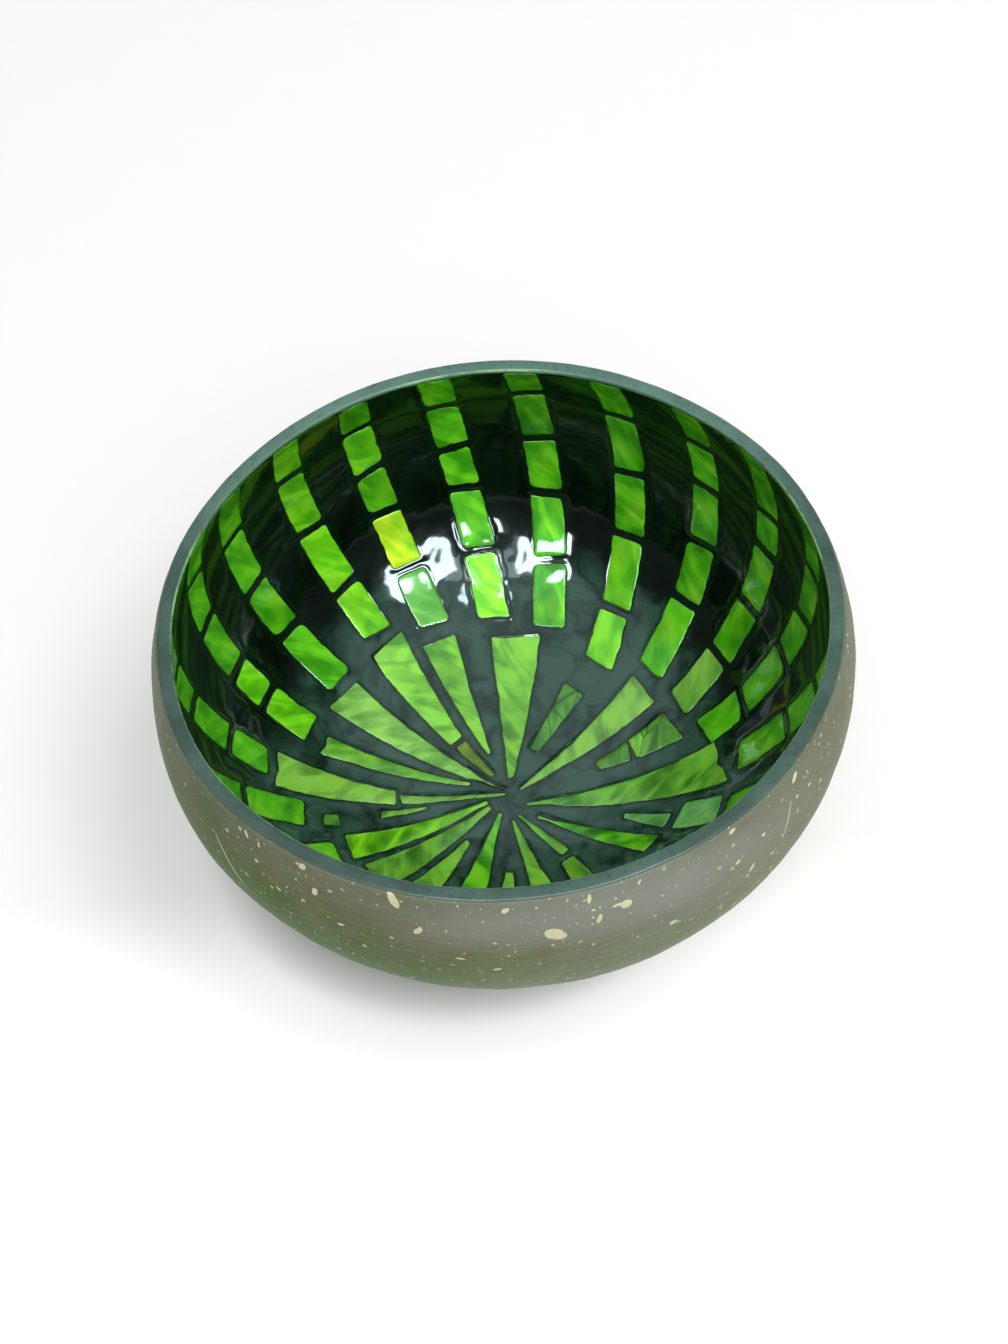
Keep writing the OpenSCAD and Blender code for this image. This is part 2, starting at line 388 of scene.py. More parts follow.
def polished_shell():
    """Polished coconut shell: taupe brown with level grain, olive low down that is a painted green
    reflection, with cream flecks and a painted pale sheen at the front.
    """
    f = new_finish("polished_coconut_shell")
    at = f.place()
    across, deep, height = f.parts(at)
    grain = f.noise(f.stretched(at, (0.35, 0.35, 4.0)), 2.2, 6.0, 0.55, 0.4)
    fibre = f.noise(f.stretched(at, (0.5, 0.5, 9.0)), 1.1, 4.0, 0.6)
    cloud = f.noise(at, 22.0, 3.0, 0.55)
    patch = f.noise(f.stretched(at, (1.0, 1.0, 2.2)), 9.0, 4.0, 0.6, 0.6)
    brown = f.mix(grain.above(0.25, 0.78), (0.147, 0.147, 0.080), (0.207, 0.221, 0.130))
    brown = f.mix(patch.above(0.42, 0.66) * 0.60, brown, (0.170, 0.135, 0.084))
    brown = f.mix(cloud.above(0.40, 0.68) * 0.45, brown, (0.164, 0.190, 0.126))
    brown = f.mix(height.above(54.0, 62.0) * 0.6, brown, (0.160, 0.200, 0.146))
    # Painted reflection: the olive green low down, paler away from the front left and reaching higher on
    # the left and right, stands in for green reflected along the lower edge
    olive = f.mix(grain.above(0.25, 0.78), (0.036, 0.102, 0.003), (0.066, 0.154, 0.012))
    pale_olive = f.mix(grain.above(0.25, 0.78), (0.144, 0.187, 0.088), (0.194, 0.250, 0.124))
    paler = across.above(-30.0, 4.0).at_least(deep.above(-12.0, 22.0))
    olive = f.mix(paler, olive, pale_olive)
    moss = f.noise(at, 15.0, 3.0, 0.55)
    olive_rise = 4 * across.above(15.0, 60.0) + 9 * across.below(-60.0, -25.0)
    low = (height + 34 * (moss - 0.5) - olive_rise).below(34.0, 60.0)
    colour = f.mix(low * 0.92, brown, olive)
    ruddy = f.noise(f.stretched(at, (1.0, 1.0, 1.6)), 6.0, 3.0, 0.55).above(0.50, 0.68)
    colour = f.mix(ruddy * (0.35 - 0.25 * low), colour, (0.150, 0.118, 0.070))
    colour = f.mix(fibre.above(0.60, 0.78) * 0.14, colour, (0.070, 0.064, 0.034))
    # Painted sheen: pale patches on the front in place of the polish's reflection
    for sheen_patch, share in PAINTED_SHEENS:
        painted_sheen = fleck_mask(f, at, sheen_patch, (cloud - 0.5) * 1.2, soft=1.6)
        colour = f.mix(painted_sheen * share, colour, (0.305, 0.330, 0.305))
    drift = f.noise(at, 1 / 0.9, 1.0, out="Color")
    speck_at = f.vector("ADD", f.stretched(at, (1.0, 1.0, 1.25)), {1: drift})
    sorts = []
    for pitch, bare, small, large, pale in SPECK_SIZES:
        chance = f.parts(f.cells(speck_at, pitch, out="Color"))[0]
        size = (chance - bare) * ((large - small) / (1 - bare)) + small
        near = size - f.cells(speck_at, pitch) * pitch
        sorts.append(near.above(0.0, 0.10) * chance.above(bare - 0.005, bare + 0.005) * pale)
    specks = functools.reduce(Link.at_least, sorts)
    crowd = f.noise(at, 17.0, 2.0).above(0.34, 0.62)
    crowd = crowd.at_least(across.above(26.0, 52.0))
    specks = specks * (0.42 + 0.58 * crowd)
    ragged = (f.noise(at, 0.8, 2.0) - 0.5) * 0.9
    flecks = functools.reduce(Link.at_least, [fleck_mask(f, at, fleck, ragged) for fleck in LARGE_FLECKS])
    tint = f.mix(f.noise(at, 0.9, 2.0), (0.62, 0.60, 0.34), (0.80, 0.77, 0.56))
    colour = f.mix(specks * 0.8, colour, tint)
    colour = f.mix(flecks * 0.95, colour, tint)
    scratch = f.noise(f.stretched(at, (0.3, 0.3, 14.0)), 0.9, 3.0, 0.7)
    height_map = grain * 0.5 + scratch * 0.35 + fibre * 0.3 - specks * 0.25
    rough = 0.33 + 0.14 * grain + 0.10 * cloud - 0.06 * flecks
    return f.surface(
        Base_Color=colour, Roughness=rough, Specular_IOR_Level=0.05,
        Coat_Weight=0.05, Coat_Roughness=0.25, Normal=f.bump(height_map, 0.05 * MM, 0.5))


def rim_finish():
    """Slate blue-grey lacquer on the sawn edge, satin, with rubbed patches, fine marks, painted glints at
    the inner edge and a painted sky reflection at the back.
    """
    f = new_finish("slate_rim_lacquer")
    at = f.place()
    cloud = f.noise(at, 12.0, 4.0, 0.6)
    fine = f.noise(at, 1.3, 4.0, 0.65)
    pits = f.cells(f.stretched(at, (1.0, 1.0, 0.5)), 1.7)
    slate = f.mix(cloud.above(0.3, 0.7), (0.025, 0.064, 0.045), (0.064, 0.124, 0.098))
    # Painted reflection: the back of the rim is lighter, in place of reflected sky
    back = f.parts(at)[1].above(10.0, 55.0)
    slate = f.mix(back * (0.35 + 0.5 * cloud), slate, (0.130, 0.270, 0.215))
    slate = f.mix(fine.above(0.50, 0.75) * 0.6, slate, (0.014, 0.040, 0.024))
    outer = f.attribute("outer")
    slate = f.mix(outer * (0.35 + 0.65 * fine.above(0.40, 0.62)), slate, (0.120, 0.116, 0.080))
    worn = f.attribute("worn")
    slate = f.mix(worn * fine.above(0.35, 0.6), slate, (0.135, 0.240, 0.150))
    # Painted highlight: pale green glints along the inner edge
    painted_glint = f.attribute("painted_glint")
    slate = f.mix(painted_glint * fine.above(0.3, 0.5), slate, (0.36, 0.72, 0.30))
    rough = 0.30 + 0.16 * cloud + 0.10 * fine
    relief = fine * 0.5 + cloud * 0.6 + pits.above(0.05, 0.25) * 0.2
    return f.surface(
        Base_Color=slate, Roughness=rough, Coat_Weight=0.25, Coat_Roughness=0.15,
        Normal=f.bump(relief, 0.10 * MM, 0.55))


def ground_finish():
    """Near-black green lacquer, milky on the floor partly as painted sky reflection, greener at the
    pearl, with painted green reflections high at the back, wavy and glossy.
    """
    f = new_finish("dark_green_lacquer")
    at = f.place()
    cloud = f.noise(at, 9.0, 3.0, 0.5)
    flow = f.noise(f.stretched(at, (1.0, 1.0, 0.7)), 2.4, 3.0, 0.55, 0.8)
    ripple = f.noise(at, 0.9, 2.0, 0.5, 0.3)
    near = f.attribute("near_pearl")
    dark = f.mix(cloud.above(0.35, 0.7), (0.0010, 0.0040, 0.0018), (0.0026, 0.0105, 0.0050))
    floor = f.attribute("floor")
    # Milky on the floor: partly the thin lacquer's tone over the green, partly a painted reflection of
    # the pale sky
    haze = f.noise(at, 7.0, 3.0, 0.55, 0.8)
    milky_and_painted_sky = f.mix(haze.above(0.30, 0.62), (0.002, 0.018, 0.008), (0.034, 0.090, 0.064))
    dark = f.mix(floor, dark, milky_and_painted_sky)
    dark = f.mix(near * (0.60 + 0.4 * flow.above(0.35, 0.6)), dark, (0.0016, 0.0140, 0.0026))
    # Painted reflection: green from the pearl between the columns, high at the back
    painted_glow = f.attribute("painted_glow")
    dark = f.mix(painted_glow * flow.above(0.3, 0.6) * 0.7, dark, (0.004, 0.040, 0.004))
    streak = f.attribute("streak")
    pale = streak * f.noise(f.stretched(at, (1.0, 1.0, 4.0)), 1.6, 3.0).above(0.52, 0.64)
    dark = f.mix(pale, dark, (0.30, 0.62, 0.24))
    wavy = f.attribute("wavy")
    relief = (flow * 0.75 + ripple * 0.12) * wavy
    return f.surface(
        Base_Color=dark, Roughness=0.10 + 0.12 * flow, Specular_IOR_Level=0.1,
        Coat_Weight=0.20 + 0.80 * wavy, Coat_Roughness=0.06,
        Normal=f.bump(relief, 0.10 * MM, 0.5))


def pearl_finish(name, bright_share):
    """Dyed pearl under clear gloss: silky bands inside each piece and darker worn edges."""
    f = new_finish(name)
    at = f.place()
    silk = f.attribute("silk", "Vector")
    dye = f.attribute("dye", "Color")
    deep = f.attribute("deep", "Color")
    edge = f.attribute("edge")
    crack = f.attribute("crack")
    bands = f.noise(f.stretched(silk, (0.09, 0.30, 1.0)), 1.0, 2.0, 0.45, 0.6)
    threads = f.noise(f.stretched(silk, (0.16, 1.9, 1.0)), 1.0, 4.0, 0.6, 0.5)
    blush = f.noise(silk, 5.5, 1.0, 0.5)
    bright = bands.above(0.38, 0.63) * 0.56 + threads * 0.16 + blush.above(0.34, 0.64) * 0.42
    colour = f.mix((bright * bright_share).at_most(1.0), deep, dye)
    tan = f.noise(silk, 5.5, 1.0)
    colour = f.mix(tan.above(0.52, 0.70) * 0.32, colour, (0.190, 0.460, 0.008))
    shine = (bands * 0.5 + blush * 0.5).above(0.54, 0.72)
    colour = f.mix(shine * 0.35, colour, (0.46, 0.96, 0.06))
    colour = f.mix(edge.below(0.0, 0.20) * 0.60, colour, (0.006, 0.090, 0.002))
    splintered = f.stretched(silk, (0.4, 1.0, 1.0))
    splinter = f.parts(f.cells(splintered, 4.2, out="Color"))[0]
    colour = f.mix(crack * splinter * 0.7, colour, deep)
    line = f.cells(splintered, 4.2, "DISTANCE_TO_EDGE")
    colour = f.mix(line.below(0.008, 0.035) * crack * 0.7, colour, (0.010, 0.080, 0.006))
    ripple = f.noise(at, 1.8, 2.0, 0.5, 0.4)
    relief = ripple * 0.6 + threads * 0.06 + bands * 0.30
    return f.surface(
        Base_Color=colour, Metallic=0.10 + 0.20 * shine, Roughness=0.30 + 0.16 * threads,
        Specular_IOR_Level=0.1, Coat_Weight=1.0, Coat_Roughness=0.05,
        Normal=f.bump(relief, 0.12 * MM, 0.5))


# Building meshes

def mesh_object(name, points, faces, finish, numbers=None):
    """A smooth mesh piece with its finish and with named values at its points."""
    mesh = bpy.data.meshes.new(name)
    mesh.from_pydata([tuple(p) for p in points], [], [tuple(int(i) for i in face) for face in faces])
    for key, values in (numbers or {}).items():
        if values.ndim == 1:
            layer = mesh.attributes.new(key, "FLOAT", "POINT")
            layer.data.foreach_set("value", values)
        elif key == "silk":
            layer = mesh.attributes.new(key, "FLOAT_VECTOR", "POINT")
            layer.data.foreach_set("vector", values.ravel())
        else:
            layer = mesh.attributes.new(key, "FLOAT_COLOR", "POINT")
            layer.data.foreach_set("color", np.insert(values, 3, 1.0, axis=1).ravel())
    mesh.shade_smooth()
    mesh.update()
    mesh.validate()
    piece = bpy.data.objects.new(name, mesh)
    bpy.context.scene.collection.objects.link(piece)
    mesh.materials.append(finish)
    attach(piece, BODY)
    return piece


ROUND_STEPS = 720
ROUND_ANGLES = np.arange(ROUND_STEPS) * (2 * math.pi / ROUND_STEPS)


def turned_rows(radii, heights):
    """Points turned about the axis: one row for each place of the section.

    A place may have one radius and one height, or its own at each angle.
    """
    if radii.ndim == 1:
        radii = np.repeat(radii[:, None], ROUND_STEPS, 1)
        heights = np.repeat(heights[:, None], ROUND_STEPS, 1)
    x = radii * np.cos(ROUND_ANGLES)
    y = radii * np.sin(ROUND_ANGLES)
    return np.stack([x, y, heights], 2).reshape(-1, 3)


def ring_faces(rows, joined=False):
    """Faces between rows round the bowl. The last row may join the first."""
    faces = []
    for row in range(rows if joined else rows - 1):
        low = row * ROUND_STEPS
        high = (row + 1) % rows * ROUND_STEPS
        for column in range(ROUND_STEPS):
            after = (column + 1) % ROUND_STEPS
            faces.append((low + column, low + after, high + after, high + column))
    return faces


def closed_faces(rows):
    """Faces between rows round the bowl, with a cap on the first row and on the last."""
    first = tuple(range(ROUND_STEPS))[::-1]
    last = tuple(range((rows - 1) * ROUND_STEPS, rows * ROUND_STEPS))
    return ring_faces(rows) + [first, last]


def humps(degrees, places):
    """Sum of smooth humps round the bowl, each with its middle and its spread in degrees."""
    total = np.zeros(len(degrees))
    for middle, spread in places:
        away = (degrees - middle + 180) % 360 - 180
        total += np.exp(-(away / spread) ** 2)
    return total


def make_shell(finish):
    """The half shell, with its ground foot and its inside hidden under the lacquer."""
    radius, height, _ = OUTSIDE.at(np.linspace(0, OUTSIDE.length(SEAT_Z), 110))
    foot_r = np.interp(0.0, height, radius)
    keep = height > 0.15 * MM
    # Shares of the foot's radius, each with its height: flat, and rubbed round at its edge
    foot = ((0.02, 0), (0.5, 0), (0.94, 0), (0.985, 0.01 * MM), (1.01, 0.06 * MM))
    outer_r = np.concatenate([[share * foot_r for share, _ in foot], radius[keep]])
    outer_z = np.concatenate([[rise for _, rise in foot], height[keep]])
    inner_r, inner_z, _ = LINING_BACK.at(np.linspace(LINING_BACK.length(SEAT_Z), 0.4 * MM, 40))
    points = turned_rows(np.concatenate([outer_r, inner_r]), np.concatenate([outer_z, inner_z]))
    rows = len(outer_r) + len(inner_r)
    # The outside is sanded by hand, so it dips a little all over above the foot
    sanded = np.repeat(np.arange(rows) < len(outer_r), ROUND_STEPS)
    sanded = sanded * np.clip((points[:, 2] - 1 * MM) / (6 * MM), 0, 1)
    dents = 0.09 * MM * lumps(points, 5, 19 * MM) + 0.03 * MM * lumps(points, 6, 6 * MM)
    out = points * np.array([1, 1, 0])
    out /= np.linalg.norm(out, axis=1, keepdims=True)
    points -= out * (sanded * (0.05 * MM + np.abs(dents)))[:, None]
    faces = [face[::-1] for face in closed_faces(rows)]
    piece = mesh_object("shell_polished", swollen(points), faces, finish)
    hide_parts("coconut_shell")


def make_rim(finish):
    """The coat on the sawn edge: a flat band with soft edges that runs over the inner edge."""
    angles = ROUND_ANGLES
    everywhere = np.ones(ROUND_STEPS)
    outer = RIM_R - FACET_SLACK
    inner = float(INSIDE.at(SEAT_ARC)[0])
    wobble = wave(angles, 11, (5, 8, 13, 19), 0.16 * MM)
    nicks = np.abs(wave(angles, 12, (47, 61, 83, 101), 0.16 * MM))
    inner_edge = inner + 0.12 * MM + wobble + nicks
    outer_edge = outer - np.abs(wave(angles, 13, (6, 11, 23), 0.12 * MM))
    dip = np.abs(wave(angles, 14, (4, 9, 17, 31), 0.07 * MM))
    skirt = 0.45 * MM + np.abs(wave(angles, 15, (7, 15, 29, 43), 0.6 * MM))
    wall = inner - 0.02 * MM
    # Radius and height at each angle: rows 0 to 3 run up the wall, 4 to 7 round the inner
    # edge, 8 to 10 cross the flat, 11 to 15 round the outer edge, 16 and 17 close underneath
    profile = [
        (wall + 0.14 * MM, SEAT_Z - skirt - 0.05 * MM),
        (wall - 0.02 * MM, SEAT_Z - skirt),
        (wall - 0.10 * MM, SEAT_Z - skirt * 0.6),
        (inner_edge - 0.26 * MM, SEAT_Z - 0.02 * MM),
    ]
    inner_round, outer_round, overhang = 0.42 * MM, 0.5 * MM, 0.28 * MM
    for share in (0.25, 0.5, 0.75, 1.0):
        bend = share * math.pi / 2
        across = inner_edge - overhang + inner_round * (1 - math.cos(bend))
        profile.append((across, SEAT_Z + (RIM_COAT - 0.04 * MM - dip) * math.sin(bend)))
    flat_start = inner_edge - overhang + inner_round
    flat_end = outer_edge - outer_round
    for share in (0.25, 0.5, 0.75):
        across = flat_start + (flat_end - flat_start) * share
        profile.append((across, HEIGHT - 0.02 * MM - dip * (1 - 0.5 * math.sin(share * math.pi))))
    for share in (0.0, 0.3, 0.6, 0.85, 1.0):
        bend = share * math.pi / 2
        across = flat_end + outer_round * math.sin(bend)
        profile.append((across, SEAT_Z + (RIM_COAT - 0.03 * MM - dip) * math.cos(bend)))
    profile.append((outer_edge - 0.02 * MM, SEAT_Z - 0.05 * MM))
    profile.append((outer - 1.2 * MM, SEAT_Z - 0.06 * MM))
    radii = np.array([across * everywhere for across, _ in profile])
    heights = np.array([height * everywhere for _, height in profile])
    points = turned_rows(radii, heights)
    row = np.repeat(np.arange(len(profile)), ROUND_STEPS)
    degrees = np.degrees(np.tile(angles, len(profile)))
    # Painted pale green glints on the inner edge: azimuth and spread in degrees
    painted_glint_places = ((213, 5), (227, 3), (171, 6), (160, 4), (100, 5), (84, 7), (18, 6), (8, 3))
    numbers = {
        "worn": 0.8 * ((row >= 3) & (row <= 6)),
        "painted_glint": np.clip(0.8 * ((row >= 3) & (row <= 5)) * humps(degrees, painted_glint_places), 0, 1),
        "outer": np.interp(row, (11, 13, 15), (0.0, 0.25, 1.0)),
    }
    faces = ring_faces(len(profile), joined=True)
    piece = mesh_object("rim_coat", swollen(points), faces, finish, numbers)
    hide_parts("rim_lacquer")


def convex_hull(points):
    """Corners of the convex outline of points in a plane, in order."""
    order = sorted(map(tuple, np.unique(np.round(points, 8), axis=0)))

    def chain(places):
        line = []
        for p in places:
            while len(line) > 1 and cross(line[-2], line[-1], p) <= 0:
                line.pop()
            line.append(p)
        return line[:-1]

    return np.array(chain(order) + chain(order[::-1]))


def cross(a, b, c):
    return (b[0] - a[0]) * (c[1] - a[1]) - (b[1] - a[1]) * (c[0] - a[0])


def four_corners(points):
    """The four corners that hold the outline of a piece best."""
    hull = convex_hull(points)
    while len(hull) > 4:
        lost = [abs(cross(hull[i - 1], hull[i], hull[(i + 1) % len(hull)])) for i in range(len(hull))]
        hull = np.delete(hull, int(np.argmin(lost)), 0)
    return hull


def solids_of(node):
    """Points of each separate solid of a node."""
    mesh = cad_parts[node].data
    points = np.array([v.co for v in mesh.vertices])
    _, same = np.unique(np.round(points / (0.005 * MM)).astype(int), axis=0, return_inverse=True)
    same = same.ravel()
    owner = np.arange(same.max() + 1)

    def root(i):
        while owner[i] != i:
            owner[i] = owner[owner[i]]
            i = owner[i]
        return i

    for edge in mesh.edges:
        a, b = root(same[edge.vertices[0]]), root(same[edge.vertices[1]])
        owner[max(a, b)] = min(a, b)
    group = np.array([root(i) for i in same])
    solids = [points[group == g] for g in np.unique(group)]
    return sorted(solids, key=lambda part: part[:, 2].mean())


class Plane:
    """The plane on the wall at the middle of one piece, with x round the wall and y up it."""

    def __init__(self, points):
        middle = (points.min(0) + points.max(0)) / 2
        self.azimuth = math.atan2(middle[1], middle[0])
        arcs = np.linspace(0, SEAT_ARC, 800)
        radius, height, _ = INSIDE.at(arcs)
        away = np.hypot(radius - math.hypot(middle[0], middle[1]), height - middle[2])
        self.arc = arcs[int(np.argmin(away))]
        radius, height, turn = (float(value) for value in INSIDE.at(self.arc))
        round_x, round_y = math.cos(self.azimuth), math.sin(self.azimuth)
        self.middle = np.array([radius * round_x, radius * round_y, height])
        self.x = np.array([-round_y, round_x, 0])
        self.y = np.array([-math.sin(turn) * round_x, -math.sin(turn) * round_y, math.cos(turn)])
        self.inward = np.array([-math.cos(turn) * round_x, -math.cos(turn) * round_y, -math.sin(turn)])

    def flat(self, points):
        away = points - self.middle
        return np.stack([away @ self.x, away @ self.y], 1)

    def lifted(self, places, lift):
        """Points that stand lift above the wall, straight over places in the plane."""
        points = self.middle + places[:, :1] * self.x + places[:, 1:] * self.y
        for _ in range(5):
            now, inward = INSIDE.lift_of(points)
            points = points + ((lift - now) / (inward @ self.inward))[:, None] * self.inward
        return points


def worn_outline(corners, random, soft, ragged):
    """The quadrilateral of a piece with soft corners and slightly uneven edges, anticlockwise."""
    corners = np.asarray(corners)
    if sum(cross(corners[0], corners[i], corners[i + 1]) for i in (1, 2)) < 0:
        corners = corners[::-1]
    places = []
    for i, here in enumerate(corners):
        before = corners[i - 1] - here
        after = corners[(i + 1) % len(corners)] - here
        length = np.linalg.norm(after)
        reach = min(random.uniform(*soft), 0.36 * min(np.linalg.norm(before), length))
        start = here + before / np.linalg.norm(before) * reach
        end = here + after / length * reach
        for share in np.linspace(0, 1, 6):
            places.append((1 - share) ** 2 * start + 2 * share * (1 - share) * here + share ** 2 * end)
        steps = max(2, int(length / (0.9 * MM)))
        for step in range(1, steps):
            share = (reach + (length - 2 * reach) * step / steps) / length
            places.append(here + after * share)
    places = np.array(places)
    ahead = np.roll(places, -1, 0) - np.roll(places, 1, 0)
    inward = np.stack([-ahead[:, 1], ahead[:, 0]], 1)
    inward /= np.maximum(np.linalg.norm(inward, axis=1, keepdims=True), 1e-9)
    line = np.concatenate([places, np.zeros((len(places), 1))], 1)
    uneven = lumps(line, int(random.integers(1e6)), 3.2 * MM) * 0.6
    uneven += lumps(line, int(random.integers(1e6)), 1.3 * MM) * 0.4
    eaten = np.clip(0.25 + 0.6 * uneven, 0, 1.2) * ragged
    return places + inward * eaten[:, None]


def spine_of(outline):
    """For each outline place, the place on the piece's middle line that faces it."""
    middle = outline.mean(0)
    _, _, ways = np.linalg.svd(outline - middle)
    long_way = ways[0]
    wide_way = np.array([-long_way[1], long_way[0]])
    along = (outline - middle) @ long_way
    across = (outline - middle) @ wide_way
    low, high = along.min(), along.max()
    order = np.linspace(low, high, 24)
    centre = np.zeros(24)
    half = np.zeros(24)
    for i, place in enumerate(order):
        near = across[np.abs(along - place) < (high - low) * 0.09]
        if len(near):
            centre[i] = (near.max() + near.min()) / 2
            half[i] = (near.max() - near.min()) / 2
    # The line ends half a width short of each end of the piece
    most = (high - low) * 0.45
    kept = np.clip(along, low + min(half[1], most), high - min(half[-2], most))
    return middle + kept[:, None] * long_way + np.interp(kept, order, centre)[:, None] * wide_way


def inside_distance(places, outline):
    """Distance from each place to the outline, positive inside it."""
    best = np.full(len(places), np.inf)
    crossings = np.zeros(len(places), int)
    for a, b in zip(outline, np.roll(outline, -1, 0)):
        edge = b - a
        share = np.clip(((places - a) @ edge) / max(edge @ edge, 1e-18), 0, 1)
        away = np.linalg.norm(places - a - share[:, None] * edge, axis=1)
        best = np.minimum(best, away)
        spans = (a[1] > places[:, 1]) != (b[1] > places[:, 1])
        rise = b[1] - a[1] if abs(b[1] - a[1]) > 1e-15 else 1e-15
        at_x = a[0] + (places[:, 1] - a[1]) / rise * edge[0]
        crossings += spans & (places[:, 0] < at_x)
    return np.where(crossings % 2 == 1, best, -best)


# Dyes of the pearl, each as its light and its deep colour
LIME = ((0.280, 0.920, 0.010), (0.070, 0.430, 0.002))
LEAF = ((0.140, 0.700, 0.008), (0.030, 0.280, 0.001))
MOSS = ((0.092, 0.510, 0.006), (0.018, 0.180, 0.001))
PALE = ((0.320, 0.760, 0.110), (0.130, 0.440, 0.030))
MINT = ((0.230, 0.640, 0.190), (0.080, 0.420, 0.055))
OLIVE = ((0.230, 0.380, 0.006), (0.120, 0.260, 0.003))
SEAWEED = ((0.160, 0.500, 0.055), (0.060, 0.300, 0.018))
YELLOW = ((0.780, 0.900, 0.004), (0.110, 0.620, 0.002))

# Pieces whose dye stands out from their neighbours', with the solid's number from the foot
SPECIAL_DYES = {
    ("centre_wedge_04", 0): OLIVE,
    ("centre_wedge_07", 0): PALE,
    ("centre_wedge_05", 0): PALE,
    ("centre_wedge_08", 0): PALE,
    ("centre_wedge_10", 0): LIME,
    ("centre_wedge_13", 0): LEAF,
    ("centre_wedge_18", 0): LEAF,
    ("centre_wedge_19", 0): MINT,
    ("centre_wedge_23", 0): PALE,
    ("centre_wedge_24", 0): SEAWEED,
    ("centre_wedge_25", 0): SEAWEED,
    ("tile_column_22", 0): MINT,
    ("tile_column_03", 0): PALE,
    ("tile_column_08", 1): YELLOW,
    ("tile_column_08", 0): SEAWEED,
    ("tile_column_12", 3): MINT,
}
CRACKED = ("centre_wedge_21", "centre_wedge_22", "centre_wedge_24")

# Wedges whose outer end is chipped hollow, with its depth, or swells a little (below 0)
CHIPPED = {
    "centre_wedge_20": 0.9 * MM,
    "centre_wedge_07": 0.55 * MM,
    "centre_wedge_06": 0.6 * MM,
    "centre_wedge_23": -0.10 * MM,
    "centre_wedge_22": -0.12 * MM,
    "centre_wedge_19": -0.10 * MM,
}


# How far the top of a pearl piece falls from its middle to its bevel, and then at the bevel's
# two rings, how deep its dents are, how near to the wall its top and its underside come, and
# how far its worn edge reaches in
CROWN = 0.10 * MM
BEVEL_DROP = 0.03 * MM
EDGE_DROP = 0.11 * MM
DENT = 0.018 * MM
THINNEST = 0.15 * MM
UNDERSIDE = 0.01 * MM
WORN_EDGE = 1.0 * MM

# Width of the bevel to each ring, with the largest share of the piece that it may take
BEVELS = ((0.10 * MM, 0.25), (0.30 * MM, 0.5))

# Pitch of the points that fill the top, and how far they stay off its inner ring
GRID_STEP = 0.9 * MM
GRID_MARGIN = 0.35 * MM


def dye_of(node, number, plane, random):
    """Light and deep colour of one pearl piece.

    The wall is painted brighter at its back left and low down, where the light falls, and
    duller high up, over each piece's random dye. The star is paler, and more streaked.
    """
    star = node.startswith("centre")
    if (node, number) in SPECIAL_DYES:
        bright, deep = np.array(SPECIAL_DYES[node, number])
    else:
        azimuth = math.degrees(plane.azimuth) % 360
        # Painted light: pieces at the back left and low down are made brighter, and high ones duller, for
        # where the light falls
        painted_lit_back_left = math.exp(-((azimuth - 125) / 50) ** 2)
        high = plane.arc / SEAT_ARC
        dye_dullness_and_painted_shade = 0.78 - 0.56 * painted_lit_back_left + 0.8 * (high - 0.6)
        dye_dullness_and_painted_shade += random.normal(0, 0.22) - (0.1 if star else 0)
        dye_dullness_and_painted_shade = min(max(dye_dullness_and_painted_shade, 0), 1)
        step = min(int(dye_dullness_and_painted_shade * 2), 1)
        brighter, duller = np.array((LIME, LEAF, MOSS)[step:step + 2])
        bright, deep = brighter + (duller - brighter) * (dye_dullness_and_painted_shade * 2 - step)
        if star:
            bright = bright * 0.45 + np.array(PALE[0]) * 0.55
            deep = deep * 0.6 + np.array(PALE[1]) * 0.4
    shade = random.uniform(0.82, 1.12)
    if star:
        deep = deep * 0.6
        shade *= 0.85
    return bright * shade, deep * shade


